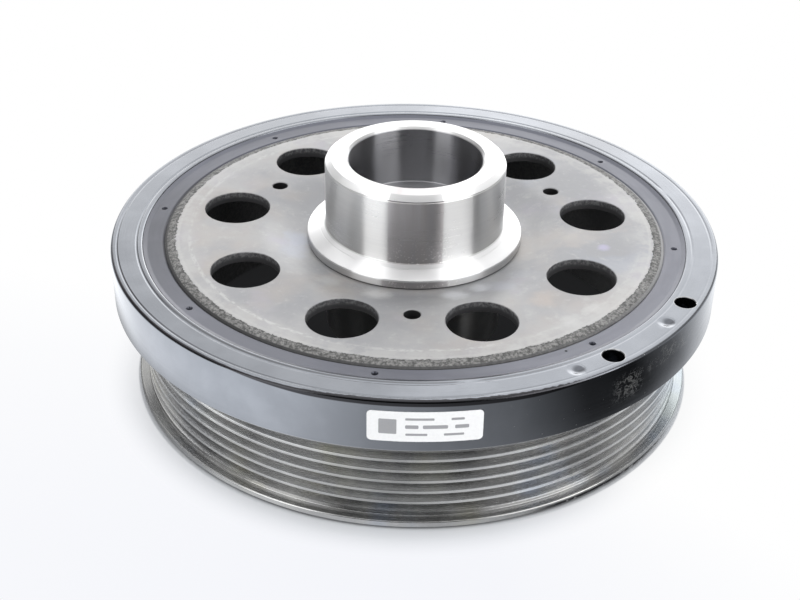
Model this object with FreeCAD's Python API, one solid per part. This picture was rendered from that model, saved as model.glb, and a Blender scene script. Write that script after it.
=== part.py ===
import FreeCAD, Part
import math
import os

# Crankshaft pulley with a torsional vibration damper.
# Millimetres. The part stands on the open edge of its belt pulley, with the
# crankshaft axis along +Z and the crankshaft end of the hub on top.

os.makedirs("parts", exist_ok=True)

# Belt pulley: a ribbed ring for a six-rib belt, with a flange at each end
groove_count = 6
groove_pitch = 3.56
groove_angle = 40.0
groove_root_rounding = 0.4
rib_tip_width = 0.9
rib_tip_radius = 83.1
pulley_wall = 1.9
lower_flange_radius = 86.0
lower_flange_thickness = 2.6
lower_flange_chamfer = 1.0
first_groove_above_flange = 1.15
upper_flange_radius = 84.5
upper_flange_thickness = 1.75
flange_rounding = 0.4
pulley_bore_chamfer = 0.5

# Hub disc: a drawn steel cup, whose wall carries the pulley and the rubber
sheet_thickness = 3.2
shoulder_rounding = 6.2
pulley_fit_clearance = 0.02
drum_edge_height = 0.6
disc_below_ring_top = 0.2
dish_depth = 3.0
dish_rim_radius = 46.0
dish_floor_past_collar = 3.0
dish_bend_rounding = 18.0
window_count = 9
window_radius = 10.0
window_circle_radius = 56.0
window_edge_chamfer = 0.4
first_window_angle = -70.7
tool_hole_count = 3
tool_hole_radius = 2.4
tool_hole_circle_radius = 50.0
first_tool_hole_angle = -90.7

# Damper: a rubber ring moulded between the hub disc and a heavy inertia ring
rubber_thickness = 3.5
rubber_below_ring_top = 0.9
rubber_lip_width = 1.3
rubber_lip_rounding = 1.2
rubber_above_ring_bottom = 0.8
gate_count = 8
gate_radius = 0.9
gate_depth = 0.6
gate_from_ring_bore = 3.5
first_gate_angle = -9.0
ring_gap_above_pulley = 1.1
ring_height = 18.5
ring_width = 9.5
ring_top_rounding = 1.5
ring_foot_chamfer = 3.0
ring_bore_chamfer = 0.3
balance_circle_inset = 4.6
balance_hole_radius = 3.0
balance_hole_depth = 11.0
balance_hole_angles = (-52.8, -29.0)
drill_point_angle = 118.0
dimple_radius = 2.45
dimple_depth = 0.8
dimple_angles = (-61.0, -37.2)

# Crankshaft sleeve: turned, with a seal track outside and a blind bore
bore_radius = 20.0
bore_depth = 18.5
sleeve_wall = 7.0
sleeve_rise = 26.7
bore_edge_chamfer = 0.8
sleeve_edge_chamfer_width = 1.9
sleeve_edge_chamfer_height = 1.4
collar_width = 5.5
collar_edge_thickness = 2.9
collar_face_rise = 2.6
collar_rounding = 0.3
collar_foot_chamfer = 0.4
seal_track_rounding = 0.5
spigot_below_disc = 26.0
spigot_clearance = 0.05
bolt_hole_radius = 9.25
bolt_seat_radius = 17.0
bolt_seat_depth = 6.0
weld_leg = 2.5

# Label: a thin blank sticker on the inertia ring's outer wall
label_width = 29.8
label_height = 9.3
label_thickness = 0.12
label_gap = 0.03
label_corner_rounding = 1.2
label_below_ring_top = 3.1
label_angle = -88.2

# Sizes that follow from the ones above
groove_opening = groove_pitch - rib_tip_width
half_groove_angle = math.radians(groove_angle / 2)
groove_apex_radius = rib_tip_radius - groove_opening / 2 / math.tan(half_groove_angle)
groove_root_radius = groove_apex_radius + groove_root_rounding * (1 / math.sin(half_groove_angle) - 1)
first_groove_start = lower_flange_thickness + first_groove_above_flange
grooves_end = first_groove_start + groove_count * groove_pitch
pulley_height = grooves_end + upper_flange_thickness
pulley_bore_radius = groove_root_radius - pulley_wall
drum_radius = pulley_bore_radius - pulley_fit_clearance
drum_bore_radius = drum_radius - sheet_thickness

ring_bottom = pulley_height + ring_gap_above_pulley
ring_top = ring_bottom + ring_height
ring_bore_radius = drum_radius + rubber_thickness
ring_radius = ring_bore_radius + ring_width
balance_circle_radius = ring_radius - balance_circle_inset

disc_top = ring_top - disc_below_ring_top
dish_top = disc_top - dish_depth
dish_underside = dish_top - sheet_thickness

sleeve_radius = bore_radius + sleeve_wall
sleeve_top = dish_top + sleeve_rise
collar_radius = sleeve_radius + collar_width
dish_floor_radius = collar_radius + dish_floor_past_collar
spigot_bottom = dish_underside - spigot_below_disc
disc_hole_radius = sleeve_radius + spigot_clearance


def plane_point(radius, height):
    """A point of a section, drawn in the XZ plane."""
    return FreeCAD.Vector(radius, 0, height)


def section_face(corners):
    """A closed section from (radius, height, rounding) corners, rounded by tangent arcs."""
    stops = []
    for index, (radius, height, rounding) in enumerate(corners):
        corner = plane_point(radius, height)
        if not rounding:
            stops.append((corner, None, corner))
            continue
        before = corners[index - 1]
        after = corners[(index + 1) % len(corners)]
        towards_before = (plane_point(before[0], before[1]) - corner).normalize()
        towards_after = (plane_point(after[0], after[1]) - corner).normalize()
        half_turn = towards_before.getAngle(towards_after) / 2
        run_in = rounding / math.tan(half_turn)
        bisector = (towards_before + towards_after).normalize()
        arc_middle = corner + bisector * (rounding / math.sin(half_turn) - rounding)
        stops.append((corner + towards_before * run_in, arc_middle, corner + towards_after * run_in))
    edges = []
    for index, (start, middle, end) in enumerate(stops):
        if middle is not None:
            edges.append(Part.Arc(start, middle, end).toShape())
        next_start = stops[(index + 1) % len(stops)][0]
        if end.distanceToPoint(next_start) > 1e-6:
            edges.append(Part.LineSegment(end, next_start).toShape())
    return Part.Face(Part.Wire(edges))


def turned(corners):
    """The solid that a section sweeps about the crankshaft axis."""
    return section_face(corners).revolve(FreeCAD.Vector(0, 0, 0), FreeCAD.Vector(0, 0, 1), 360)


def on_circle(shape, circle_radius, angle):
    """A shape made on the axis, moved out to a circle at an angle in degrees."""
    placed = shape.copy()
    placed.translate(FreeCAD.Vector(circle_radius, 0, 0))
    placed.rotate(FreeCAD.Vector(0, 0, 0), FreeCAD.Vector(0, 0, 1), angle)
    return placed


def around(shape, circle_radius, count, first_angle):
    """Copies of a shape, evenly spaced on a circle."""
    return [on_circle(shape, circle_radius, first_angle + 360 / count * index) for index in range(count)]


def belt_pulley():
    """Ribbed ring: flange, V grooves with rounded roots, and a low upper flange."""
    corners = [
        (pulley_bore_radius + pulley_bore_chamfer, 0, 0),
        (lower_flange_radius - lower_flange_chamfer, 0, 0),
        (lower_flange_radius, lower_flange_chamfer, 0),
        (lower_flange_radius, lower_flange_thickness, flange_rounding),
        (rib_tip_radius, lower_flange_thickness, 0),
    ]
    for index in range(groove_count):
        start = first_groove_start + groove_pitch * index
        corners += [
            (rib_tip_radius, start, 0),
            (groove_apex_radius, start + groove_opening / 2, groove_root_rounding),
            (rib_tip_radius, start + groove_opening, 0),
        ]
    corners += [
        (rib_tip_radius, grooves_end, 0),
        (upper_flange_radius, grooves_end, flange_rounding),
        (upper_flange_radius, pulley_height, flange_rounding),
        (pulley_bore_radius + pulley_bore_chamfer, pulley_height, 0),
        (pulley_bore_radius, pulley_height - pulley_bore_chamfer, 0),
        (pulley_bore_radius, pulley_bore_chamfer, 0),
    ]
    return turned(corners)


def drawn_cup_outline():
    """The outer side of the hub disc, from its centre hole to the drum's open edge."""
    return [
        (dish_floor_radius, dish_top, dish_bend_rounding),
        (dish_rim_radius, disc_top, dish_bend_rounding),
        (drum_radius, disc_top, shoulder_rounding),
        (drum_radius, drum_edge_height, 0),
    ]


def hub_disc():
    """Drawn sheet cup with a dished centre, a ring of round windows and three tool holes."""
    dish_slope = math.atan2(dish_depth, dish_rim_radius - dish_floor_radius)
    bend_shift = sheet_thickness * math.tan(dish_slope / 2)
    inner_side = [
        (drum_bore_radius, drum_edge_height, 0),
        (drum_bore_radius, disc_top - sheet_thickness, shoulder_rounding - sheet_thickness),
        (dish_rim_radius + bend_shift, disc_top - sheet_thickness, dish_bend_rounding),
        (dish_floor_radius + bend_shift, dish_underside, dish_bend_rounding),
    ]
    cup = turned(
        [(disc_hole_radius, dish_top, 0)]
        + drawn_cup_outline()
        + inner_side
        + [(disc_hole_radius, dish_underside, 0)]
    )
    through_low = disc_top - 2 * sheet_thickness
    window = Part.makeCylinder(window_radius, 3 * sheet_thickness, FreeCAD.Vector(0, 0, through_low))
    window_edge = Part.makeCone(
        window_radius,
        window_radius + 2 * window_edge_chamfer,
        2 * window_edge_chamfer,
        FreeCAD.Vector(0, 0, disc_top - window_edge_chamfer),
    )
    tool_hole = Part.makeCylinder(tool_hole_radius, 3 * sheet_thickness, FreeCAD.Vector(0, 0, through_low))
    windows = around(window.fuse(window_edge), window_circle_radius, window_count, first_window_angle)
    tool_holes = around(tool_hole, tool_hole_circle_radius, tool_hole_count, first_tool_hole_angle)
    return cup.cut(windows + tool_holes)


def damper_rubber():
    """Moulded ring on the drum's shoulder, with gate marks and a lip that climbs the inertia ring's bore."""
    rubber_top = ring_top - rubber_below_ring_top
    rubber_bottom = ring_bottom + rubber_above_ring_bottom
    lip_top = ring_top - ring_bore_chamfer
    shoulder_start = drum_radius - shoulder_rounding
    block = turned([
        (shoulder_start, rubber_bottom, 0),
        (ring_bore_radius, rubber_bottom, 0),
        (ring_bore_radius, lip_top, 0),
        (ring_bore_radius - rubber_lip_width, rubber_top, rubber_lip_rounding),
        (shoulder_start, rubber_top, 0),
    ])
    filled_cup = turned([(0, dish_top, 0)] + drawn_cup_outline() + [(0, drum_edge_height, 0)])
    gate_bottom = FreeCAD.Vector(0, 0, rubber_top - gate_depth)
    gate = Part.makeCylinder(gate_radius, 2 * gate_depth, gate_bottom)
    gates = around(gate, ring_bore_radius - gate_from_ring_bore, gate_count, first_gate_angle)
    return block.cut([filled_cup] + gates)


def inertia_ring():
    """Heavy ring with drilled balance holes and two shallow dimples in its top face."""
    ring = turned([
        (ring_bore_radius + ring_bore_chamfer, ring_bottom, 0),
        (ring_radius - ring_foot_chamfer, ring_bottom, 0),
        (ring_radius, ring_bottom + ring_foot_chamfer, 0),
        (ring_radius, ring_top, ring_top_rounding),
        (ring_bore_radius + ring_bore_chamfer, ring_top, 0),
        (ring_bore_radius, ring_top - ring_bore_chamfer, 0),
        (ring_bore_radius, ring_bottom + ring_bore_chamfer, 0),
    ])
    point_depth = balance_hole_radius / math.tan(math.radians(drill_point_angle / 2))
    hole_end = ring_top - balance_hole_depth
    straight_start = FreeCAD.Vector(0, 0, hole_end)
    straight = Part.makeCylinder(balance_hole_radius, 2 * balance_hole_depth, straight_start)
    point = Part.makeCone(0, balance_hole_radius, point_depth, FreeCAD.Vector(0, 0, hole_end - point_depth))
    balance_hole = straight.fuse(point)
    ball_radius = (dimple_radius ** 2 + dimple_depth ** 2) / 2 / dimple_depth
    dimple = Part.makeSphere(ball_radius, FreeCAD.Vector(0, 0, ring_top - dimple_depth + ball_radius))
    drilled = [on_circle(balance_hole, balance_circle_radius, angle) for angle in balance_hole_angles]
    drilled += [on_circle(dimple, balance_circle_radius, angle) for angle in dimple_angles]
    return ring.cut(drilled)


def crank_sleeve():
    """Turned sleeve: seal track, coned collar, blind crankshaft bore and a bolt hole with its seat."""
    bore_floor = sleeve_top - bore_depth
    collar_edge = dish_top + collar_edge_thickness
    return turned([
        (bolt_hole_radius, bore_floor, 0),
        (bore_radius, bore_floor, 0),
        (bore_radius, sleeve_top - bore_edge_chamfer, 0),
        (bore_radius + bore_edge_chamfer, sleeve_top, 0),
        (sleeve_radius - sleeve_edge_chamfer_width, sleeve_top, 0),
        (sleeve_radius, sleeve_top - sleeve_edge_chamfer_height, 0),
        (sleeve_radius, collar_edge + collar_face_rise, seal_track_rounding),
        (collar_radius, collar_edge, collar_rounding),
        (collar_radius, dish_top + collar_foot_chamfer, 0),
        (collar_radius - collar_foot_chamfer, dish_top, 0),
        (sleeve_radius, dish_top, 0),
        (sleeve_radius, spigot_bottom, 0),
        (bolt_seat_radius, spigot_bottom, 0),
        (bolt_seat_radius, spigot_bottom + bolt_seat_depth, 0),
        (bolt_hole_radius, spigot_bottom + bolt_seat_depth, 0),
    ])


def hub_weld():
    """Weld run in the corner between the disc's underside and the sleeve's spigot."""
    return turned([
        (sleeve_radius, dish_underside, 0),
        (sleeve_radius, dish_underside - weld_leg, 0),
        (sleeve_radius + weld_leg, dish_underside, 0),
    ])


def blank_label():
    """Rounded sticker that follows the inertia ring's wall."""
    inner_radius = ring_radius + label_gap
    middle_height = ring_top - label_below_ring_top - label_height / 2
    tube = turned([
        (inner_radius, middle_height - label_height, 0),
        (inner_radius + label_thickness, middle_height - label_height, 0),
        (inner_radius + label_thickness, middle_height + label_height, 0),
        (inner_radius, middle_height + label_height, 0),
    ])
    half_width = label_width / 2
    half_height = label_height / 2
    outline = section_face([
        (-half_width, middle_height - half_height, label_corner_rounding),
        (half_width, middle_height - half_height, label_corner_rounding),
        (half_width, middle_height + half_height, label_corner_rounding),
        (-half_width, middle_height + half_height, label_corner_rounding),
    ])
    sticker = tube.common(outline.extrude(FreeCAD.Vector(0, 2 * ring_radius, 0)))
    sticker.rotate(FreeCAD.Vector(0, 0, 0), FreeCAD.Vector(0, 0, 1), label_angle - 90)
    return sticker


pieces = {
    "belt_pulley": belt_pulley,
    "hub_disc": hub_disc,
    "damper_rubber": damper_rubber,
    "inertia_ring": inertia_ring,
    "crank_sleeve": crank_sleeve,
    "hub_weld": hub_weld,
    "blank_label": blank_label,
}

for name, make in pieces.items():
    solid = make()
    print(name, "valid", solid.isValid(), "solids", len(solid.Solids), "volume", round(solid.Volume, 1))
    solid.exportStep("parts/" + name + ".step")

print("height", round(sleeve_top, 2), "diameter", round(2 * ring_radius, 2), "ring top", round(ring_top, 2))
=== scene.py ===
import math

import bmesh
import bpy
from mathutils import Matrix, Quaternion, Vector, noise


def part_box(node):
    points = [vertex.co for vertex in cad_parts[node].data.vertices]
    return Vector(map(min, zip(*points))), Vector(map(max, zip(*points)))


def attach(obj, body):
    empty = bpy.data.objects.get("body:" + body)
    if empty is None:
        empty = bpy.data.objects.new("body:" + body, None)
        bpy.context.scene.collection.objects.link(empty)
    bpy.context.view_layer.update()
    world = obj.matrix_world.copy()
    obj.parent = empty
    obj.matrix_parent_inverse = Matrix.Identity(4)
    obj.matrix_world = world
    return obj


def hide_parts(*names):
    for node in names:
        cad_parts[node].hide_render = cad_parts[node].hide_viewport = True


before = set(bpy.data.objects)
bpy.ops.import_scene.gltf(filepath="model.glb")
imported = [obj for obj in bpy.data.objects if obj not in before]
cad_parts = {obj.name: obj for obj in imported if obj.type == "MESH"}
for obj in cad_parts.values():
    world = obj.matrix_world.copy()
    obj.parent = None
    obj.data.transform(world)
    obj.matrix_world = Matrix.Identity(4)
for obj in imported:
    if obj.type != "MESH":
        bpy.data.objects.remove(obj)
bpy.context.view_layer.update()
print("frame loaded, nodes:", ", ".join(sorted(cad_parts)))

mm = 0.001
turn = 2 * math.pi

ringLow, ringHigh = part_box("inertia_ring")
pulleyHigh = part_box("belt_pulley")[1]
discLow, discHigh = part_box("hub_disc")
rubberLow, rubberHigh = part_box("damper_rubber")
sleeveLow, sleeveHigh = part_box("crank_sleeve")
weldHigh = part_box("hub_weld")[1]
labelLow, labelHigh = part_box("blank_label")


# Node helpers, for materials and geometry trees alike

class Field:
    # One output of a node; sums and products of fields become math nodes

    def __init__(self, socket):
        self.socket = socket

    def lay(self, share, *colour):
        # This colour with another one laid over it
        return mixOf(share, self, rgb(*colour))


class Made:
    # A node whose outputs are read as fields, by name or number

    def __init__(self, node):
        self.node = node

    def __getitem__(self, key):
        return Field(self.node.outputs[key])


def mathSign(operation, swapped):
    def apply(self, other):
        return mathOf(operation, other, self) if swapped else mathOf(operation, self, other)
    return apply


signs = {"add": "ADD", "sub": "SUBTRACT", "mul": "MULTIPLY", "truediv": "DIVIDE", "pow": "POWER"}
for sign, operation in signs.items():
    setattr(Field, "__" + sign + "__", mathSign(operation, False))
    setattr(Field, "__r" + sign + "__", mathSign(operation, True))


def setInput(node, key, value):
    # Links fields, those in a list one after another, and sets plain values on the socket itself
    for one in value if isinstance(value, list) else [value]:
        if isinstance(one, Field):
            node.id_data.links.new(one.socket, node.inputs[key])
        else:
            node.inputs[key].default_value = one


def addNode(tree, kind, inputs=None, **settings):
    node = tree.nodes.new(kind)
    for name, value in settings.items():
        setattr(node, name, value)
    for key, value in (inputs or {}).items():
        setInput(node, key, value)
    return Made(node)


def joinNode(kind, inputs, **settings):
    # A node in the tree that its first field comes from
    tree = next(value.socket.id_data for value in inputs.values() if isinstance(value, Field))
    return addNode(tree, kind, inputs, **settings)


def mathOf(operation, first, second=0.0, third=0.0):
    return joinNode("ShaderNodeMath", {0: first, 1: second, 2: third}, operation=operation)[0]


def rangeOf(value, fromLow, fromHigh, toLow=0.0, toHigh=1.0):
    inputs = {"Value": value, "From Min": fromLow, "From Max": fromHigh, "To Min": toLow, "To Max": toHigh}
    return joinNode("ShaderNodeMapRange", inputs, interpolation_type="SMOOTHSTEP")[0]


def vectorOf(x=0.0, y=0.0, z=0.0):
    return joinNode("ShaderNodeCombineXYZ", {0: x, 1: y, 2: z})[0]


def axesOf(vector):
    return joinNode("ShaderNodeSeparateXYZ", {0: vector})


def vectorMathOf(operation, inputs, output=0):
    return joinNode("ShaderNodeVectorMath", inputs, operation=operation)[output]


def noiseOf(vector, scale, detail=3.0, roughness=0.55):
    inputs = {"Vector": vector, "Scale": scale, "Detail": detail, "Roughness": roughness}
    return joinNode("ShaderNodeTexNoise", inputs)["Fac"]


def mixOf(factor, first, second, blend="MIX"):
    return joinNode("ShaderNodeMix", {0: factor, 6: first, 7: second}, data_type="RGBA", blend_type=blend)[2]


def bandOf(value, low, high, soft):
    # 1 between low and high, falling to 0 over a soft edge on both sides
    return rangeOf(value, low - soft, low + soft) * rangeOf(value, high - soft, high + soft, 1.0, 0.0)


def rgb(*parts):
    # A single number is a grey
    return (parts * 3 if len(parts) == 1 else parts) + (1,)


def aroundOf(angle, table):
    # Reads a table of levels by their angle in degrees round the part
    share = joinNode("ShaderNodeMapRange", {"Value": angle, "From Min": -180.0, "From Max": 180.0})[0]
    ramp = joinNode("ShaderNodeValToRGB", {0: share})
    highest = max(table.values())
    elements = ramp.node.color_ramp.elements
    while len(elements) < len(table):
        elements.new(0.5)
    for element, (degrees, level) in zip(elements, table.items()):
        element.position = (degrees + 180) / 360
        element.color = rgb(level / highest)
    return ramp[0] * highest


class Place:
    # Where a point is on a turned part, and patterns that follow from that

    def __init__(self, tree):
        self.place = addNode(tree, "ShaderNodeTexCoord")["Object"]
        axes = axesOf(self.place)
        self.flat = vectorOf(axes[0], axes[1])
        self.radius = vectorMathOf("LENGTH", {0: self.flat}, "Value")
        self.facing = vectorMathOf("NORMALIZE", {0: self.flat})
        self.height = axes[2]
        self.across = self.radius + self.height
        self.angle = mathOf("DEGREES", mathOf("ARCTAN2", axes[1], axes[0]))

    def around(self, table):
        return aroundOf(self.angle, table)

    def noise(self, scale, detail=3.0, roughness=0.55, shift=None):
        place = self.place
        if shift:
            place = joinNode("ShaderNodeMapping", {0: place, 1: shift})[0]
        return noiseOf(place, scale, detail, roughness)

    def lathe(self, alongScale, acrossScale, detail=2.0):
        # Noise drawn out along the turning direction
        spread = vectorMathOf("SCALE", {0: self.facing, "Scale": alongScale})
        return noiseOf(vectorMathOf("ADD", {0: spread, 1: vectorOf(z=self.across * acrossScale)}), 1.0, detail)

    def spot(self, spot, low, high, ragged=0.0):
        # 1 inside the low reach round a spot in millimetres, falling to 0 at the high reach
        reach = vectorMathOf("DISTANCE", {0: self.flat, 1: (spot[0] * mm, spot[1] * mm, 0)}, "Value")
        if ragged:
            reach = reach + rangeOf(self.noise(260.0), 0.2, 0.8, -ragged * mm, ragged * mm)
        return rangeOf(reach, low * mm, high * mm, 1.0, 0.0)


def emptyMaterial(name):
    material = bpy.data.materials.new(name)
    material.use_nodes = True
    material.node_tree.nodes.clear()
    return material, material.node_tree


def newMaterial(name):
    material, tree = emptyMaterial(name)
    shader = addNode(tree, "ShaderNodeBsdfPrincipled")
    addNode(tree, "ShaderNodeOutputMaterial", {0: shader[0]})
    return material, shader, Place(tree)


def addBump(shader, height, strength, distance, under=None):
    inputs = {"Height": height, "Strength": strength, "Distance": distance}
    if under is not None:
        inputs["Normal"] = under
    bump = joinNode("ShaderNodeBump", inputs)[0]
    setInput(shader.node, "Normal", bump)
    return bump


def turnedTangent(shader, amount):
    tangent = addNode(shader.node.id_data, "ShaderNodeTangent", direction_type="RADIAL", axis="Z")[0]
    setShader(shader, {"Tangent": tangent, "Anisotropic": amount, "Anisotropic Rotation": 0.25})


def setShader(shader, values):
    for name, value in values.items():
        setInput(shader.node, name, value)


# Mesh helpers

def roundedOutline(corners, arcStep=12.0):
    # Turns (radius, height, rounding) corners of a closed section into points, with arcs at the rounded ones
    points = []
    for index, (radius, height, rounding) in enumerate(corners):
        corner = Vector((radius, height))
        if rounding <= 0:
            points.append(corner)
            continue
        before = Vector(corners[index - 1][:2])
        after = Vector(corners[(index + 1) % len(corners)][:2])
        toBefore = (before - corner).normalized()
        toAfter = (after - corner).normalized()
        half = toBefore.angle(toAfter) / 2
        centre = corner + (toBefore + toAfter).normalized() * (rounding / math.sin(half))
        start = corner + toBefore * (rounding / math.tan(half)) - centre
        sweep = math.pi - 2 * half
        side = 1 if toBefore.x * toAfter.y - toBefore.y * toAfter.x < 0 else -1
        steps = max(2, math.ceil(math.degrees(sweep) / arcStep))
        for step in range(steps + 1):
            bend = side * sweep * step / steps
            spoke = Vector((
                start.x * math.cos(bend) - start.y * math.sin(bend),
                start.x * math.sin(bend) + start.y * math.cos(bend),
            ))
            points.append(centre + spoke)
    return points


def latheMesh(name, outline, segments, shift=None, closed=True):
    # Sweeps a section about the Z axis; shift moves a point by where it is
    mesh = bpy.data.meshes.new(name)
    vertices = []
    faces = []
    rows = len(outline)
    for segment in range(segments):
        angle = turn * segment / segments
        for point in outline:
            radius, height = point
            if shift:
                radius, height = shift(radius, height, angle)
            vertices.append((radius * math.cos(angle), radius * math.sin(angle), height))
    for segment in range(segments):
        here = segment * rows
        there = (segment + 1) % segments * rows
        for row in range(rows if closed else rows - 1):
            nextRow = (row + 1) % rows
            faces.append((here + row, there + row, there + nextRow, here + nextRow))
    mesh.from_pydata(vertices, [], faces)
    return mesh


def addObject(name, data, material=None):
    piece = bpy.data.objects.new(name, data)
    bpy.context.scene.collection.objects.link(piece)
    if material:
        data.materials.append(material)
    return piece


def cleanMesh(mesh, reach=1e-6):
    build = bmesh.new()
    build.from_mesh(mesh)
    bmesh.ops.remove_doubles(build, verts=build.verts, dist=reach)
    bmesh.ops.recalc_face_normals(build, faces=build.faces)
    build.to_mesh(mesh)
    build.free()


def lathePiece(name, outline, segments, shift=None, material=None, reach=1e-6):
    piece = addObject(name, latheMesh(name, outline, segments, shift), material)
    cleanMesh(piece.data, reach)
    return piece


def settle(piece):
    # Turns the evaluated result into a plain mesh and takes the modifiers off
    graph = bpy.context.evaluated_depsgraph_get()
    result = bpy.data.meshes.new_from_object(piece.evaluated_get(graph), depsgraph=graph)
    piece.modifiers.clear()
    piece.data = result


def finishPiece(piece, replaced, sharpAngle):
    cleanMesh(piece.data)
    piece.data.shade_smooth()
    piece.data.set_sharp_from_angle(angle=math.radians(sharpAngle))
    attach(piece, "root")
    if replaced:
        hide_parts(replaced)
    print("piece", piece.name, "faces", len(piece.data.polygons))


def addTree(name, inputs):
    tree = bpy.data.node_groups.new(name, "GeometryNodeTree")
    for label, kind in inputs.items():
        tree.interface.new_socket(name=label, in_out="INPUT", socket_type="NodeSocket" + kind)
    tree.interface.new_socket(name="Geometry", in_out="OUTPUT", socket_type="NodeSocketGeometry")
    return tree, addNode(tree, "NodeGroupInput")


def closeTree(tree, geometry, material):
    real = addNode(tree, "GeometryNodeRealizeInstances", {0: geometry})[0]
    dressed = addNode(tree, "GeometryNodeSetMaterial", {"Geometry": real, "Material": material})[0]
    addNode(tree, "NodeGroupOutput", {0: dressed})


def circleSpot(radius, angle, height):
    return vectorOf(radius * mathOf("COSINE", angle), radius * mathOf("SINE", angle), height)


def runTree(piece, tree, values):
    modifier = piece.modifiers.new(tree.name, "NODES")
    modifier.node_group = tree
    for item in tree.interface.items_tree:
        if item.in_out == "INPUT" and item.name in values:
            modifier[item.identifier] = values[item.name]
    settle(piece)


# Camera and light

cameraValues = {
    "lens": 63.36,
    "sensor": 36,
    "target": (-0.00401, 0, 0.01965),
    "distance": 0.44365,
    "elevation": 31.887,
    "roll": 0.893,
}


def addCamera():
    values = cameraValues
    data = bpy.data.cameras.new("camera")
    data.lens = values["lens"]
    data.sensor_width = values["sensor"]
    camera = addObject("camera", data)
    rise = math.radians(values["elevation"])
    away = Vector((0, -math.cos(rise), math.sin(rise)))
    camera.location = Vector(values["target"]) + away * values["distance"]
    look = (-away).to_track_quat("-Z", "Y")
    roll = Quaternion((0, 0, 1), math.radians(values["roll"]))
    camera.rotation_euler = (look @ roll).to_euler()
    bpy.context.scene.camera = camera


# Azimuth and elevation in degrees as seen from the part, distance, width and height in metres, radiance
softboxes = {
    "backBox": (86, 24, 1.5, 1.8, 1.1, 0.72),
    "backRightBox": (70, 24, 1.5, 0.9, 1.1, 0.82),
    "backLowBox": (86, 14.5, 1.5, 1.8, 0.78, 0.95),
    "leftBox": (-138.8, 20, 1.3, 0.67, 1, 2.95),
    "rightBox": (-37.8, 20, 1.3, 0.98, 1, 3.6),
    "topBox": (90, 86, 1.4, 2.3, 2.3, 1.45),
}


def addSoftboxes():
    for name, (azimuth, elevation, distance, width, height, level) in softboxes.items():
        data = bpy.data.lights.new(name, "AREA")
        data.shape = "RECTANGLE"
        data.size = width
        data.size_y = height
        data.energy = level * math.pi * width * height
        lamp = addObject(name, data)
        turned = math.radians(azimuth)
        rise = math.radians(elevation)
        away = Vector((math.cos(turned) * math.cos(rise), math.sin(turned) * math.cos(rise), math.sin(rise)))
        lamp.location = away * distance
        lamp.rotation_euler = away.to_track_quat("Z", "Y").to_euler()


worldValues = {
    "ambient": 0.2,
    "fill": rgb(0.97, 0.985, 1),
    "white": 1,
    # What shiny parts see of the room, by the angle round the part in degrees
    "room": {
        -180: 0.42, -165: 0.28, -150: 0.35, -128: 0.3, -124.6: 0.3, -123.2: 0.03, -56: 0.03, -54: 0.15, -30: 0.42,
        0: 0.5, 40: 0.62, 60: 0.9, 112: 1.1, 124: 0.5, 180: 0.42,
    },
}


def shaderOf(kind, first, second):
    return joinNode("ShaderNode" + kind, {0: first, 1: second})[0]


def mixShaderOf(factor, first, second):
    return joinNode("ShaderNodeMixShader", {0: factor, 1: first, 2: second})[0]


def shinyOf(path):
    return mathOf("MAXIMUM", path["Is Glossy Ray"], path["Is Transmission Ray"])


def addWorld():
    world = bpy.data.worlds.new("studio")
    bpy.context.scene.world = world
    world.use_nodes = True
    tree = world.node_tree
    tree.nodes.clear()
    path = addNode(tree, "ShaderNodeLightPath")
    axes = axesOf(addNode(tree, "ShaderNodeTexCoord")["Generated"])
    angle = mathOf("DEGREES", mathOf("ARCTAN2", axes[1], axes[0]))
    mirrored = shaderOf("Background", rgb(1), aroundOf(angle, worldValues["room"]))
    shown = addNode(tree, "ShaderNodeBackground", {0: rgb(1), 1: worldValues["white"]})[0]
    filling = addNode(tree, "ShaderNodeBackground", {0: worldValues["fill"], 1: worldValues["ambient"]})[0]
    whole = mixShaderOf(path["Is Camera Ray"], mixShaderOf(shinyOf(path), filling, mirrored), shown)
    addNode(tree, "ShaderNodeOutputWorld", {0: whole})


floorValues = {
    "size": 12,
    "drop": 0.0001,
    "colour": rgb(0.84, 0.86, 0.89),
    # Painted shade for the table under the part
    "dark": rgb(0.03, 0.03, 0.035),
    "glow": rgb(0.95, 0.97, 1),
    "darkGlow": 0.012,
    "cupGlow": 0.09,
    "cupSheen": 0.02,
    # How far the table is lifted to white beside the part, by the angle round it in degrees
    "lift": {
        -180: 0.75, -160: 0.55, -140: 0.42, -115: 0.18, -93: 0.08, -75: 0.18, -60: 0.5, -46: 0.85, 0: 0.9, 90: 0.9,
        160: 0.85, 180: 0.75,
    },
    "fadeStart": 0.087,
    "fadeEnd": 0.0975,
    # The painted shadow where the part meets the table, and how the white rises from there through a faint bluish
    # grey, also painted shadow
    "contactInner": 0.0858,
    "contactOuter": 0.0915,
    "contactShade": 0.86,
    "nearWhite": rgb(0.915, 0.925, 0.965),
    "whiteStart": 0.12,
    "whiteEnd": 0.3,
    "whiteSide": {-180: 0.6, -140: 0.2, -105: 0, -78: 0, -58: 0.5, -42: 1, 160: 1, 180: 0.6},
    "footInner": 0.084,
    "footOuter": 0.0865,
    # What shiny parts see of the table, by the angle round the part in degrees
    "sheen": {
        -180: 2.2, -159: 2.35, -146: 2.45, -132: 2.3, -118: 2, -109: 1.6, -100: 1.2, -80: 0.7, -70: 0.56,
        -62: 0.42, -54: 0.22, -46: 0.06, -38: 0.05, -29: 0.02, -21: 0.18, -12: 0.36, -4: 0.85, 6: 1.3, 15: 1.5,
        40: 1.3, 70: 1, 110: 0.95, 150: 1.6, 180: 2.2,
    },
    "nearSheen": {
        -180: 0.5, -150: 0.35, -135: 0.55, -117: 1.1, -104: 1, -90: 0.8, -78: 0.85, -66: 0.7, -52: 0.36,
        -42: 0.44, -30: 0.8, -15: 1, 0: 1.05, 40: 1.1, 100: 1, 180: 0.5,
    },
    "nearEnd": 0.106,
    "farStart": 0.126,
}


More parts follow.
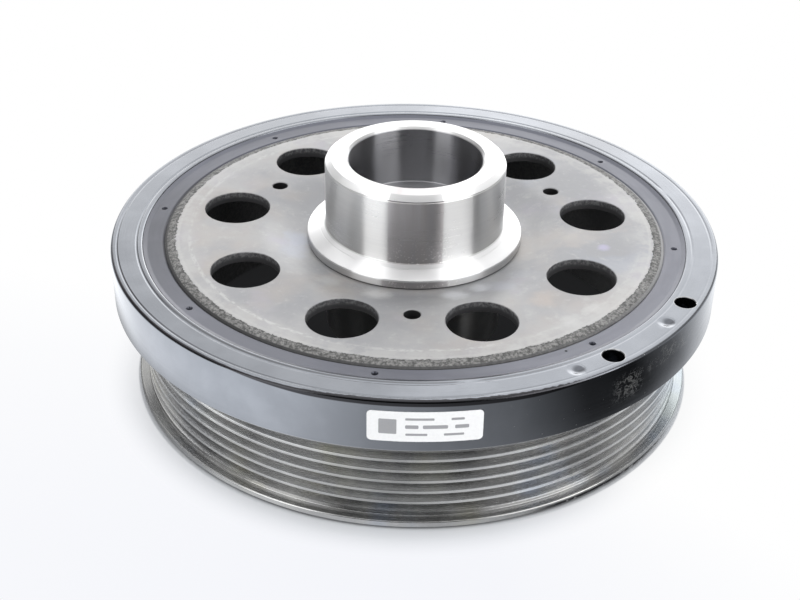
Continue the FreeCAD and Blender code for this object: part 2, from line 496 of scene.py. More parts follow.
def addFloor():
    values = floorValues
    half = values["size"] / 2
    low = -values["drop"]
    mesh = bpy.data.meshes.new("floor")
    corners = [(-half, -half, low), (half, -half, low), (half, half, low), (-half, half, low)]
    mesh.from_pydata(corners, [], [(0, 1, 2, 3)])
    material, tree = emptyMaterial("paleTable")
    at = Place(tree)
    path = addNode(tree, "ShaderNodeLightPath")
    beside = rangeOf(at.radius, values["footInner"], values["footOuter"])
    contact = rangeOf(at.radius, values["contactInner"], values["contactOuter"], values["contactShade"], 1)
    pale = mixOf(contact, rgb(0), values["colour"])
    # Under the part the table is painted dark, as painted shade
    paper = joinNode("ShaderNodeBsdfDiffuse", {0: mixOf(beside, values["dark"], pale)})[0]
    inside = 1 - beside
    # Inside the cup the table glows a little, as light that has bounced about in there
    level = path["Is Camera Ray"] * (values["darkGlow"] - values["cupGlow"]) + values["cupGlow"]
    shaded = shaderOf("AddShader", paper, shaderOf("Emission", values["glow"], inside * level))
    whiter = rangeOf(at.radius, values["whiteStart"], values["whiteEnd"])
    whiter = mathOf("MAXIMUM", whiter, at.around(values["whiteSide"]))
    white = shaderOf("Emission", mixOf(whiter, values["nearWhite"], rgb(1)), 1)
    outside = rangeOf(at.radius, values["fadeStart"], values["fadeEnd"])
    lift = at.around(values["lift"])
    clear = rangeOf(at.radius, values["footOuter"], values["fadeStart"])
    seen = (lift + outside * (1 - lift)) * clear * path["Is Camera Ray"]
    far = at.around(values["sheen"])
    near = beside * at.around(values["nearSheen"]) + inside * values["cupSheen"]
    outward = rangeOf(at.radius, values["nearEnd"], values["farStart"])
    sheen = shaderOf("Emission", values["glow"], outward * far + (1 - outward) * near)
    whole = mixShaderOf(shinyOf(path), mixShaderOf(seen, shaded, white), sheen)
    addNode(tree, "ShaderNodeOutputMaterial", {0: whole})
    addObject("floor", mesh, material)


# Materials

# Painted shade: how much darker the sleeve's wall is painted lower down, by the angle round the part in degrees
sleeveShade = {
    -180: 0.55, -165: 0.55, -150: 0, -30: 0, -20: 0.15, -10: 0.4, 10: 0.3, 60: 0, 120: 0, 180: 0.55,
}


def sleeveSteelMaterial():
    material, shader, at = newMaterial("turnedSleeveSteel")
    fine = at.lathe(1.5, 9000)
    broad = at.lathe(0.8, 1500)
    patches = at.noise(90, 4)
    pits = at.noise(1900, 1, 0.4)
    tone = mixOf(rangeOf(broad, 0.3, 0.7), rgb(0.59), rgb(0.612, 0.612, 0.608))
    tone = tone.lay(rangeOf(patches, 0.5, 0.75, 0, 0.35), 0.6, 0.585, 0.565)
    # Painted reflection: the wall's stretch towards the viewer is painted darker, warmer and streaked, and darker
    # still lower down, for the dark room it reflects
    streaks = rangeOf(at.lathe(14, 30, 3), 0.3, 0.7)
    lower = rangeOf(at.height, 0.067, 0.05)
    frontReflectionTone = mixOf(lower, rgb(0.55, 0.535, 0.545), rgb(0.45, 0.437, 0.445))
    frontReflectionTone = frontReflectionTone.lay(streaks * 0.5, 0.475, 0.447, 0.44)
    ahead = bandOf(at.angle, -106.8, -72.8, 0.7)
    tone = mixOf(ahead, tone, frontReflectionTone)
    # Painted shade on the wall's sides, lower down
    beside = at.around(sleeveShade)
    tone = tone.lay(beside * rangeOf(at.height, 0.068, 0.05, 0.5, 1), 0.36, 0.36, 0.365)
    foot = rangeOf(at.height, 0.061, 0.05) * rangeOf(pits, 0.63, 0.68) * bandOf(at.angle, -108, -66, 6)
    tone = tone.lay(foot * 0.55, 0.85, 0.84, 0.83)
    grain = rangeOf(fine, 0.2, 0.8, 0.28, 0.33) + rangeOf(patches, 0.3, 0.8, -0.02, 0.02)
    # Painted highlight: the collar's sloping face is painted light
    collarFaceHighlight = rangeOf(at.radius, 0.0273, 0.0276) * rangeOf(at.height, 0.0455, 0.0458)
    tone = tone.lay(collarFaceHighlight, 0.8, 0.8, 0.805)
    # Painted shade: towards the viewer, the face inside its fine line is painted darker
    inner = collarFaceHighlight * rangeOf(at.radius, 0.0288, 0.0286) * bandOf(at.angle, -112, -68, 6)
    tone = tone.lay(inner * 0.7, 0.62, 0.62, 0.625)
    # Painted reflection: the top chamfer is painted near white, and grey towards the viewer
    edge = rangeOf(at.height, 0.0684, 0.0686) * rangeOf(at.radius, 0.0249, 0.0251)
    tone = mixOf(edge, tone, mixOf(ahead, rgb(0.93), rgb(0.49, 0.49, 0.495)))
    # Painted reflection: a dark line under the chamfer, towards the viewer
    line = bandOf(at.height, 0.06832, 0.06856, 0.00003) * ahead * rangeOf(at.radius, 0.0262, 0.0264)
    tone = tone.lay(line, 0.14, 0.14, 0.145)
    # Painted shade in the undercut at the collar's foot and down the bore
    under = rangeOf(at.radius, 0.0316, 0.0318) * rangeOf(at.height, 0.0438, 0.0436)
    tone = tone.lay(under, 0.07, 0.07, 0.072).lay(rangeOf(at.radius, 0.0203, 0.0201), 0.35, 0.35, 0.365)
    grain = grain + collarFaceHighlight * 0.06
    setShader(shader, {"Base Color": tone, "Metallic": 1, "Roughness": grain})
    turnedTangent(shader, 1)
    addBump(shader, fine, 0.04, 0.00003)
    return material


# Heat tints and stains on the disc, and pale spots beside the collar's foot that are painted reflections of the
# sleeve: place, inner and outer reach and raggedness in mm, then share and colour
discStainsAndReflections = [
    ((-35.5, -4), 1.5, 6, 1.6, 0.6, (0.325, 0.345, 0.415)),
    ((-36, -12), 1.5, 6.5, 1.6, 0.6, (0.34, 0.355, 0.415)),
    ((-41, -8), 0.5, 5, 1.4, 0.45, (0.33, 0.315, 0.38)),
    ((25.3, -32.3), 1.5, 6.5, 1.2, 0.75, (0.35, 0.357, 0.39)),
    ((35.8, -41.1), 1, 5.5, 1.4, 0.6, (0.37, 0.325, 0.298)),
    ((47.4, -7.7), 1.5, 5.5, 1.6, 0.5, (0.35, 0.322, 0.302)),
    ((56.6, -11.3), 0.5, 2.6, 0.5, 0.75, (0.36, 0.34, 0.47)),
    ((62, 3), 1, 6, 2, 0.4, (0.345, 0.315, 0.3)),
    # The next four, pale spots beside the collar's foot, are painted reflections of the sleeve
    ((-10.5, -36), 1.2, 5.5, 0.8, 0.75, (0.53, 0.53, 0.53)),
    ((11.5, -36), 1.2, 5.2, 0.8, 0.75, (0.53, 0.54, 0.56)),
    ((19, -31.5), 0.8, 4, 0.8, 0.7, (0.48, 0.49, 0.52)),
    ((-24.4, -29.5), 1, 4.8, 0.8, 0.6, (0.42, 0.42, 0.42)),
    ((-22, -38), 2, 9, 2, 0.4, (0.34, 0.315, 0.292)),
    ((-58, -22), 1.5, 6, 2.4, 0.4, (0.335, 0.315, 0.3)),
    ((42, -52.5), 0.8, 5, 2, 0.5, (0.44, 0.44, 0.44)),
    ((50, -45.5), 0.8, 4.5, 2, 0.5, (0.44, 0.44, 0.44)),
    ((31, -24), 1, 5, 1.4, 0.4, (0.345, 0.35, 0.385)),
    ((-52, 26), 1.5, 7, 2.4, 0.35, (0.325, 0.315, 0.335)),
]

# Round the part in degrees: how far the painted highlight on the dashes, the painted shade in the crevice and the
# painted highlight on its edge show
discShares = {
    "dashes": {
        -180: 0.8, -150: 0.9, -120: 1, -60: 0.9, -40: 0.3, -10: 0.25, 30: 0.35, 70: 0.8, 110: 0.8, 150: 0.5,
        180: 0.8,
    },
    "crevice": {
        -180: 0.6, -155: 0.95, -130: 1, -100: 0.8, -75: 0.65, -55: 0.35, -35: 0.1, 0: 0, 45: 0.15, 110: 0.1,
        135: 0.2, 160: 0.55, 180: 0.6,
    },
    "light": {-180: 0, -45: 0, -25: 0.55, -10: 1, 10: 0.9, 25: 0.6, 45: 0.15, 70: 0, 180: 0},
}


def holeReach(at, values):
    # How far a point is from the middle of the nearest hole of a circle of them
    step = values["step"]
    folded = mathOf("FLOORED_MODULO", at.angle + (step / 2 - values["first"]), step)
    aside = mathOf("COSINE", mathOf("RADIANS", folded - step / 2))
    both = at.radius ** 2 + values["circle"] ** 2
    cross = at.radius * (2 * values["circle"]) * aside
    return mathOf("SQRT", both - cross)


def discSteelMaterial():
    material, shader, at = newMaterial("drawnDiscSteel")
    cloud = at.noise(26, 5, 0.6)
    hue = at.noise(34, 3, shift=(0.3, 0.1, 0.7))
    speck = at.noise(900, 2, 0.7)
    tone = mixOf(rangeOf(cloud, 0.38, 0.62), rgb(0.258, 0.261, 0.272), rgb(0.32, 0.319, 0.322))
    tone = tone.lay(rangeOf(hue, 0.53, 0.68, 0, 0.55), 0.342, 0.312, 0.29)
    tone = tone.lay(rangeOf(hue, 0.46, 0.32, 0, 0.55), 0.272, 0.288, 0.33)
    lilac = at.noise(52, 4, shift=(0.5, 0.8, 0.2))
    tone = tone.lay(rangeOf(lilac, 0.56, 0.7, 0, 0.5), 0.318, 0.302, 0.345)
    glints = at.noise(300, 5, 0.72)
    tone = tone.lay(rangeOf(glints, 0.52, 0.74, 0, 0.45), 0.4)
    for spot, low, high, ragged, share, colour in discStainsAndReflections:
        tone = tone.lay(at.spot(spot, low, high, ragged) * share, *colour)
    # A paler border with a worn, dashed line in it whose strength by the angle is a painted highlight, and the
    # scuffed rim of the flat, painted lighter as an edge highlight
    outer = rangeOf(at.radius, 0.065, 0.07) * rangeOf(at.noise(190, 4, 0.65), 0.38, 0.6, 0.25, 1)
    tone = tone.lay(outer * 0.75, 0.372, 0.369, 0.366)
    dashes = at.lathe(34, 1200, 3)
    lit = rangeOf(at.noise(30, 3), 0.36, 0.58, 0.15, 1) * at.around(discShares["dashes"])
    worn = bandOf(at.radius, 0.0674, 0.0685, 0.0004) * rangeOf(dashes, 0.42, 0.58)
    tone = tone.lay(worn * lit * 0.65, 0.47, 0.47, 0.465)
    rim = bandOf(at.radius, 0.0709, 0.0717, 0.0003) * rangeOf(at.lathe(60, 2200, 3), 0.35, 0.6, 0.35, 1)
    tone = tone.lay(rim * 0.4, 0.42, 0.417, 0.41).lay(rangeOf(speck, 0.6, 0.8, 0, 0.25), 0.24, 0.24, 0.25)
    grain = rangeOf(cloud, 0.3, 0.7, 0.5, 0.4) + speck * 0.08
    tear = rangeOf(at.noise(900, 4, 0.7), 0.25, 0.75, -0.00032, 0.00032)
    wander = rangeOf(at.noise(150, 2), 0.3, 0.7, -0.0002, 0.0002)
    ragged = at.radius + wander + tear
    grit = rangeOf(ragged, 0.072, 0.0722)
    crumbs = at.noise(1050, 4, 0.7)
    rough = mixOf(rangeOf(crumbs, 0.38, 0.64), rgb(0.058, 0.058, 0.057), rgb(0.232, 0.23, 0.226))
    raggedDarkLine = bandOf(ragged, 0.072, 0.0725, 0.0001) * rangeOf(crumbs, 0.6, 0.45)
    rough = rough.lay(raggedDarkLine * 0.8, 0.035)
    # Painted shade where the shoulder meets the rubber, then a painted highlight on the crevice's edge and painted
    # shade in the crevice, by the angle round the part
    foot = rangeOf(at.radius, 0.07445, 0.0748)
    rough = rough.lay(foot * 0.6, 0.14, 0.14, 0.145)
    rough = rough.lay(foot * at.around(discShares["light"]), 0.3, 0.3, 0.305)
    rough = rough.lay(foot * at.around(discShares["crevice"]), 0.02, 0.02, 0.021)
    tone = mixOf(grit, tone, rough)
    # The window walls: sheared steel in a darker tone, painted darker still further down as painted shade inside
    # the holes
    walls = rangeOf(holeReach(at, discValues["windows"]), 0.01016, 0.01009)
    shear = mixOf(rangeOf(crumbs, 0.38, 0.66), rgb(0.075, 0.075, 0.078), rgb(0.205, 0.205, 0.212))
    shear = shear.lay(rangeOf(at.height, 0.0452, 0.044), 0.055, 0.055, 0.058)
    tone = mixOf(walls, tone, shear)
    # Painted shade inside the tool holes
    small = rangeOf(holeReach(at, discValues["toolHoles"]), 0.00245, 0.0024)
    tone = tone.lay(small, 0.025, 0.025, 0.026)
    grain = grain + grit * 0.12
    setShader(shader, {"Base Color": tone, "Metallic": 0.22, "Roughness": grain})
    under = addBump(shader, speck, 0.18, 0.00008)
    addBump(shader, crumbs, grit * 0.4, 0.00015, under)
    return material


def gritMaterial():
    material, shader, at = newMaterial("shoulderGrit")
    grains = at.noise(1400, 3, 0.65)
    tone = mixOf(rangeOf(grains, 0.35, 0.68), rgb(0.06, 0.06, 0.058), rgb(0.205, 0.203, 0.199))
    setShader(shader, {"Base Color": tone, "Metallic": 0.1, "Roughness": 0.62})
    addBump(shader, grains, 0.35, 0.00012)
    return material


# A small pit in the rubber's face: place, inner and outer reach in mm; round the part, how much the rubber shines
rubberPit = ((40.3, -66), 0.25, 0.5)
rubberShine = {-180: 0.3, -160: 0.34, -142: 0.5, 150: 0.5, 168: 0.36, 180: 0.3}


def rubberMaterial():
    material, shader, at = newMaterial("mouldedRubber")
    skin = at.noise(1600, 2)
    flow = at.lathe(6, 500)
    bloom = at.noise(70, 4)
    tone = mixOf(rangeOf(bloom, 0.4, 0.7), rgb(0.02, 0.021, 0.026), rgb(0.038, 0.039, 0.048))
    # Painted shade in the crevice beside the cup, by the angle round the part, where the rubber is also made
    # rougher and less shiny
    crevice = rangeOf(at.radius, 0.0762, 0.0757) * at.around(discShares["crevice"])
    tone = tone.lay(crevice, 0.004, 0.004, 0.005)
    pit = at.spot(*rubberPit)
    tone = tone.lay(pit, 0.003, 0.003, 0.004)
    crevice = mathOf("MAXIMUM", crevice, pit)
    grain = rangeOf(flow, 0.3, 0.7, 0.3, 0.38) + rangeOf(bloom, 0.3, 0.7, -0.03, 0.04) + crevice * 0.3
    level = at.around(rubberShine) * (1 - crevice * 0.8)
    setShader(shader, {
        "Base Color": tone, "Roughness": grain, "IOR": 1.78,
        "Specular IOR Level": level, "Specular Tint": rgb(0.8, 0.83, 1),
    })
    addBump(shader, skin, 0.1, 0.00004)
    return material


# Where the ring is worn, and where its painted shade lies, in degrees and metres
ringWearAndShade = {
    # The patch and the smear beside it: from, to and softness
    "angle": (-54.5, -48.5, 2), "height": (0.035, 0.0425, 0.0022),
    "smearAngle": (-48, -34, 5), "smearHeight": (0.039, 0.0445, 0.0022),
    # Round the part in degrees: the height and radius where the painted dark edge starts, how dark the painted
    # shade in the outer and inner grooves and on the edge is, and where the top face has painted shade
    "edgeFrom": {-180: 0.0461, -122: 0.046, -108: 0.045, -70: 0.0448, -56: 0.046, 180: 0.0461},
    "edgeStart": {
        -180: 0.0904, -130: 0.0904, -118: 0.0908, -110: 0.0908, -99: 0.0902, -90: 0.0902, -75: 0.0905, -60: 0.0909,
        180: 0.0909,
    },
    "outerGroove": {-180: 0.2, -165: 0.6, -150: 1, -135: 1, -115: 0.8, -98: 0.5, -75: 0.3, -60: 0, 180: 0.2},
    "groove": {
        -180: 0, -168: 0, -150: 0.8, -125: 1, -100: 0.75, -83: 0.7, -81.5: 0, -79: 0, -77.5: 0.6,
        -60: 0.35, -45: 0, 180: 0,
    },
    "edge": {-180: 0, -165: 0.5, -150: 1, -66: 1, -54: 0.35, -42: 0, 180: 0},
    "dull": {-180: 0, 30: 0.1, 45: 0.75, 60: 0.3, 90: 0, 120: 0.2, 135: 0.5, 150: 0.2, 180: 0},
}


def middlesOf(holes):
    # The middles of a row of holes, in millimetres
    for index in range(holes["count"]):
        angle = math.radians(holes["first"] + holes["step"] * index)
        yield holes["circle"] / mm * math.cos(angle), holes["circle"] / mm * math.sin(angle)


def ringCoatingMaterial():
    material, shader, at = newMaterial("blackRingCoating")
    peel = at.noise(420, 2)
    lines = at.lathe(2, 2600)
    cloud = at.noise(60, 4)
    speck = at.noise(950, 1, 0.4)
    tone = mixOf(rangeOf(cloud, 0.35, 0.7), rgb(0.172, 0.181, 0.198), rgb(0.202, 0.212, 0.231))
    wall = rangeOf(at.radius, 0.0905, 0.0911)
    top = rangeOf(at.height, 0.0461, 0.0463)
    dull = top * at.around(ringWearAndShade["dull"])
    tone = tone.lay(dull, 0.137, 0.141, 0.152)
    # The fine grooves are painted dark on the left as painted shade, and the bore's lip there painted bright as a
    # painted highlight
    inner = top * at.around(ringWearAndShade["groove"])
    tone = tone.lay(inner * bandOf(at.radius, 0.0827, 0.0833, 0.0002), 0.07, 0.072, 0.078)
    outer = top * at.around(ringWearAndShade["outerGroove"])
    tone = tone.lay(outer * bandOf(at.radius, 0.089, 0.0893, 0.0002), 0.06, 0.062, 0.068)
    lip = bandOf(at.angle, -165, -108, 12) * bandOf(at.radius, 0.081, 0.0823, 0.0002)
    tone = tone.lay(lip, 0.3, 0.305, 0.32)
    # Painted shade along the outer rounding towards the viewer, with a ragged border where the coat is chipped
    chips = rangeOf(at.noise(520, 3, 0.65), 0.25, 0.75, -1, 1)
    chipped = mathOf("MAXIMUM", bandOf(at.angle, -107, -99, 2), bandOf(at.angle, -86, -60, 3))
    chipped = chips * rangeOf(chipped, 0, 1, 0.00006, 0.00022)
    edge = rangeOf(at.radius + chipped - at.around(ringWearAndShade["edgeStart"]), -0.0001, 0.0001)
    above = at.height - at.around(ringWearAndShade["edgeFrom"])
    edge = edge * rangeOf(above, -0.00015, 0.00015) * at.around(ringWearAndShade["edge"])
    tone = tone.lay(edge, 0.035, 0.035, 0.038)
    worn = bandOf(at.angle, *ringWearAndShade["angle"]) * wall * bandOf(at.height, *ringWearAndShade["height"])
    scratch = at.noise(420, 6, 0.75)
    worn = worn * rangeOf(mathOf("ABSOLUTE", scratch - 0.5), 0.045, 0, 0, 0.9)
    smear = bandOf(at.angle, *ringWearAndShade["smearAngle"]) * wall * bandOf(at.height, *ringWearAndShade["smearHeight"])
    worn = mathOf("MAXIMUM", worn, smear * rangeOf(scratch, 0.47, 0.64, 0, 0.5))
    dust = rangeOf(speck, 0.75, 0.79) * wall * bandOf(at.angle, -74, -24, 6)
    marks = mathOf("MAXIMUM", worn, dust * 0.4)
    tone = tone.lay(marks, 0.42, 0.42, 0.41)
    for middle in middlesOf(ringValues["balanceHoles"]):
        rim = at.spot(middle, 3.25, 3.4) * rangeOf(at.height, 0.046, 0.0462)
        tone = tone.lay(rim * 0.5, 0.42)
    for x, y in middlesOf(ringValues["dimples"]):
        # A dimple gets painted shade on its far side and is left light on its near side
        shade = at.spot((x + 0.75, y + 0.65), 0.8, 2.3) * rangeOf(at.height, 0.0464, 0.04632)
        tone = tone.lay(shade * 0.85, 0.055, 0.058, 0.066)
    # Below the wall, the foot's outer edge gets a painted highlight and the rest painted shade
    foot = rangeOf(at.height, 0.0312, 0.0308) * rangeOf(at.radius, 0.0875, 0.0885)
    under = mixOf(rangeOf(at.radius, 0.0901, 0.0904), rgb(0.06, 0.06, 0.062), rgb(0.55))
    tone = mixOf(foot, tone, under)
    grain = rangeOf(lines, 0.3, 0.7, 0.15, 0.21) + marks * 0.4
    setShader(shader, {"Base Color": tone, "Metallic": 1, "Roughness": grain})
    under = addBump(shader, peel, 0.06, 0.0001)
    addBump(shader, scratch, worn * 0.6, 0.00008, under)
    return material


# Round the part in degrees: how much lighter or darker the grooves, the tips between them and the lower flange are
# painted, as painted light and shade
pulleyShares = {
    "grooves": {
        -180: 0.6, -160: 0.62, -138: 0.76, -114: 0.66, -93: 0.84, -80: 0.72, -68: 0.62, -52: 0.76, -42: 0.95,
        -30: 0.95, -18: 0.88, 10: 0.8, 60: 0.8, 180: 0.6,
    },
    "tips": {
        -180: 1.4, -138: 1.4, -120: 0.9, -108: 0.75, -93: 0.62, -80: 1, -68: 1.6, -44: 1.3, -28: 1, -12: 0.75,
        20: 0.75, 90: 1, 180: 1.4,
    },
    "flange": {
        -180: 0.4, -158: 0.45, -142: 0.85, -130: 1, -120: 0.8, -108: 0.7, -93: 0.85, -80: 0.7, -68: 0.62,
        -44: 0.85, -28: 0.8, -12: 0.75, 20: 0.65, 70: 0.8, 180: 0.4,
    },
}


def pulleySteelMaterial():
    material, shader, at = newMaterial("ribbedPulleySteel")
    lines = at.lathe(2, 7000)
    cloud = at.noise(55, 4)
    hue = at.noise(38, 3, shift=(0.9, 0.4, 0.2))
    tone = mixOf(rangeOf(cloud, 0.35, 0.7), rgb(0.5), rgb(0.62, 0.62, 0.61))
    tone = tone.lay(rangeOf(hue, 0.54, 0.7, 0, 0.4), 0.6, 0.585, 0.49)
    tone = tone.lay(rangeOf(hue, 0.46, 0.32, 0, 0.6), 0.5, 0.54, 0.61)
    values = pulleyValues
    shares = pulleyShares
    start = values["lowerFlange"] + values["firstGroove"]
    # Painted shade: each groove is painted lighter at its lower flank and darker towards its upper flank
    within = mathOf("FRACT", (at.height - start) / values["pitch"])
    grooves = at.around(shares["grooves"]) * rangeOf(within, 0, 0.75, 1.35, 0.8)
    tips = rangeOf(at.radius, 0.0828, 0.08295)
    level = grooves * (1 - tips) + tips * at.around(shares["tips"])
    flange = rangeOf(at.height, start - 0.0001, start - 0.0003)
    level = level * (1 - flange) + flange * at.around(shares["flange"])
    tone = mixOf(1, tone, vectorOf(level, level, level), "MULTIPLY")
    # Painted reflection: a bluish tint on the right side
    tone = mixOf(bandOf(at.angle, -30, 40, 10), tone, mixOf(1, tone, rgb(0.84, 0.92, 1), "MULTIPLY"))
    # Painted contact shadow: a dark, ragged line along the lower edge, on the right towards the viewer
    raggedDarkLine = bandOf(at.angle, -66, -30, 4) * rangeOf(at.height, 0.002, 0.0017)
    raggedDarkLine = raggedDarkLine * rangeOf(at.noise(420, 4, 0.7), 0.38, 0.48)
    tone = tone.lay(raggedDarkLine, 0.03, 0.03, 0.032)
    grain = rangeOf(lines, 0.25, 0.75, 0.2, 0.3) + rangeOf(cloud, 0.3, 0.7, -0.03, 0.05)
    setShader(shader, {"Base Color": tone, "Metallic": 0.95, "Roughness": grain})
    turnedTangent(shader, 0.6)
    addBump(shader, lines, 0.12, 0.00006)
    return material


def weldMaterial():
    material, shader, at = newMaterial("weldBead")
    ripple = at.noise(700, 3)
    tone = mixOf(rangeOf(ripple, 0.35, 0.7), rgb(0.2, 0.19, 0.18), rgb(0.38, 0.36, 0.33))
    setShader(shader, {"Base Color": tone, "Metallic": 0.8, "Roughness": 0.45})
    addBump(shader, ripple, 0.3, 0.0001)
    return material


def labelMaterial(name, colour, roughness):
    material, shader, at = newMaterial(name)
    fibre = at.noise(1500, 3)
    darker = tuple(0.96 * part for part in colour[:3]) + (1,)
    setShader(shader, {"Base Color": mixOf(rangeOf(fibre, 0.3, 0.7), darker, colour), "Roughness": roughness})
    addBump(shader, fibre, 0.05, 0.00004)
    return material


# Belt pulley: the grooves come from a geometry tree, the flanges and the bore from a lathe section

pulleyValues = {
    "segments": 320,
    "grooves": 6,
    "pitch": 3.56 * mm,
    "grooveAngle": 40.0,
    "rootRounding": 0.40 * mm,
    "tipWidth": 0.90 * mm,
    "tipRounding": 0.12 * mm,
    "tipRadius": 83.1 * mm,
    "wall": 1.9 * mm,
    "lowerFlange": 2.6 * mm,
    "lowerChamfer": 1.0 * mm,
    "firstGroove": 1.15 * mm,
    "upperRadius": 84.5 * mm,
    "stepsPerGroove": 26,
}


def grooveTree():
    tree, given = addTree("ribbedBand", {
        "Geometry": "Geometry", "Groove Count": "Int", "Pitch": "Float", "Groove Opening": "Float",
        "Half Angle": "Float", "Root Rounding": "Float", "Tip Radius": "Float", "Tip Rounding": "Float",
        "Start Height": "Float", "Segments": "Int", "Steps": "Int", "Material": "Material",
    })
    count, pitch, half = given["Groove Count"], given["Pitch"], given["Half Angle"]
    rounding, tip = given["Root Rounding"], given["Tip Radius"]
    grid = addNode(tree, "GeometryNodeMeshGrid", {
        "Size X": 1, "Size Y": 1, "Vertices X": count * given["Steps"] + 1, "Vertices Y": given["Segments"] + 1,
    })
    axes = axesOf(addNode(tree, "GeometryNodeInputPosition")[0])
    along = (axes[0] + 0.5) * count
    within = mathOf("FRACT", along + 1e-5) * pitch
    halfOpening = given["Groove Opening"] * 0.5
    offCentre = mathOf("ABSOLUTE", within - halfOpening)
    slope = mathOf("TANGENT", half)
    apex = tip - halfOpening / slope
    flank = apex + offCentre / slope
    chord = rounding ** 2 - offCentre ** 2
    root = apex + rounding / mathOf("SINE", half) - mathOf("SQRT", mathOf("MAXIMUM", chord, 0))
    inRoot = mathOf("LESS_THAN", offCentre, rounding * mathOf("COSINE", half))
    choice = {"Switch": inRoot, "False": flank, "True": root}
    section = addNode(tree, "GeometryNodeSwitch", choice, input_type="FLOAT")
    radius = mathOf("SMOOTH_MIN", section[0], tip, given["Tip Rounding"])
    spot = circleSpot(radius, (axes[1] + 0.5) * turn, along * pitch + given["Start Height"])
    bent = addNode(tree, "GeometryNodeSetPosition", {"Geometry": grid[0], "Position": spot})
    both = addNode(tree, "GeometryNodeJoinGeometry", {0: [bent[0], given["Geometry"]]})
    merged = addNode(tree, "GeometryNodeMergeByDistance", {"Geometry": both[0], "Distance": 2e-6})
    closeTree(tree, merged[0], given["Material"])
    return tree


def beltPulleyPiece(material):
    values = pulleyValues
    opening = values["pitch"] - values["tipWidth"]
    half = math.radians(values["grooveAngle"] / 2)
    apex = values["tipRadius"] - opening / 2 / math.tan(half)
    rootRadius = apex + values["rootRounding"] * (1 / math.sin(half) - 1)
    bore = rootRadius - values["wall"]
    start = values["lowerFlange"] + values["firstGroove"]
    end = start + values["grooves"] * values["pitch"]
    chamfer = values["lowerChamfer"]
    outer = pulleyHigh.x
    top = pulleyHigh.z
    tip = values["tipRadius"]
    upper = values["upperRadius"]
    soft = 0.12 * mm
    section = roundedOutline([
        (tip, start, 0),
        (tip, values["lowerFlange"], 0.15 * mm),
        (outer, values["lowerFlange"], 0.4 * mm),
        (outer, chamfer, soft),
        (outer - chamfer, 0, soft),
        (bore + 0.5 * mm, 0, soft),
        (bore, 0.5 * mm, soft),
        (bore, top - 0.5 * mm, soft),
        (bore + 0.5 * mm, top, soft),
        (upper, top, 0.4 * mm),
        (upper, end, 0.4 * mm),
        (tip, end, 0),
    ])
    piece = addObject("beltPulley", latheMesh("beltPulley", section, values["segments"], closed=False))
    runTree(piece, grooveTree(), {
        "Groove Count": values["grooves"],
        "Pitch": values["pitch"],
        "Groove Opening": opening,
        "Half Angle": half,
        "Root Rounding": values["rootRounding"],
        "Tip Radius": tip,
        "Tip Rounding": values["tipRounding"],
        "Start Height": start,
        "Segments": values["segments"],
        "Steps": values["stepsPerGroove"],
        "Material": material,
    })
    finishPiece(piece, "belt_pulley", sharpAngle=40.0)


# Holes on a circle, cut by a geometry tree with copies of one shaped cutter

def holeTree():
    tree, given = addTree("holePattern", {
        "Geometry": "Geometry", "Cutter": "Object", "Count": "Int", "Circle Radius": "Float",
        "First Angle": "Float", "Angle Step": "Float", "Height": "Float", "Material": "Material",
    })
    angle = given["First Angle"] + given["Angle Step"] * addNode(tree, "GeometryNodeInputIndex")[0]
    spot = circleSpot(given["Circle Radius"], angle, given["Height"])
    points = addNode(tree, "GeometryNodePoints", {"Count": given["Count"], "Position": spot})
    cutter = addNode(tree, "GeometryNodeObjectInfo", {"Object": given["Cutter"]})
    placed = addNode(tree, "GeometryNodeInstanceOnPoints", {
        "Points": points[0], "Instance": cutter["Geometry"], "Rotation": vectorOf(z=angle),
    })
    solid = addNode(tree, "GeometryNodeRealizeInstances", {0: placed[0]})
    both = {0: given["Geometry"], 1: solid[0]}
    cut = addNode(tree, "GeometryNodeMeshBoolean", both, operation="DIFFERENCE", solver="EXACT")
    closeTree(tree, cut[0], given["Material"])
    return tree


def cutHoles(piece, tree, material, holes, section, height, shift=None):
    # The cutter's section runs from its lower end up, with the axis closed by the first and last points
    cutter = lathePiece("cutter", section, holes["sides"], shift, reach=1e-7)
    runTree(piece, tree, {
        "Cutter": cutter,
        "Count": holes["count"],
        "Circle Radius": holes["circle"],
        "First Angle": math.radians(holes["first"]),
        "Angle Step": math.radians(holes["step"]),
        "Height": height,
        "Material": material,
    })
    bpy.data.objects.remove(cutter)


# Hub disc: a drawn cup with a dished centre, windows and tool holes

discValues = {
    "segments": 320,
    "sheet": 3.2 * mm,
    "shoulder": 6.2 * mm,
    "dishDepth": 3.0 * mm,
    "dishRim": 46.0 * mm,
    "dishFloor": 35.5 * mm,
    "dishBend": 18.0 * mm,
    "sleeveHole": 27.05 * mm,
    "windows": {"count": 9, "radius": 10.0 * mm, "circle": 56.0 * mm, "first": -70.7, "step": 40.0, "sides": 96},
    "toolHoles": {"count": 3, "radius": 2.4 * mm, "circle": 50.0 * mm, "first": -90.7, "step": 120.0, "sides": 40},
    "chamfer": 0.25 * mm,
    "shearRoughness": 0.07 * mm,
}


def cupOutline():
    values = discValues
    top = discHigh.z
    drum = discHigh.x
    sheet = values["sheet"]
    dishTop = top - values["dishDepth"]
    slope = math.atan2(values["dishDepth"], values["dishRim"] - values["dishFloor"])
    bendShift = sheet * math.tan(slope / 2)
    soft = 0.15 * mm
    return roundedOutline([
        (values["sleeveHole"], dishTop, 0),
        (values["dishFloor"], dishTop, values["dishBend"]),
        (values["dishRim"], top, values["dishBend"]),
        (drum, top, values["shoulder"]),
        (drum, discLow.z, soft),
        (drum - sheet, discLow.z, soft),
        (drum - sheet, top - sheet, values["shoulder"] - sheet),
        (values["dishRim"] + bendShift, top - sheet, values["dishBend"]),
        (values["dishFloor"] + bendShift, dishTop - sheet, values["dishBend"]),
        (values["sleeveHole"], dishTop - sheet, 0),
    ], 4.0)


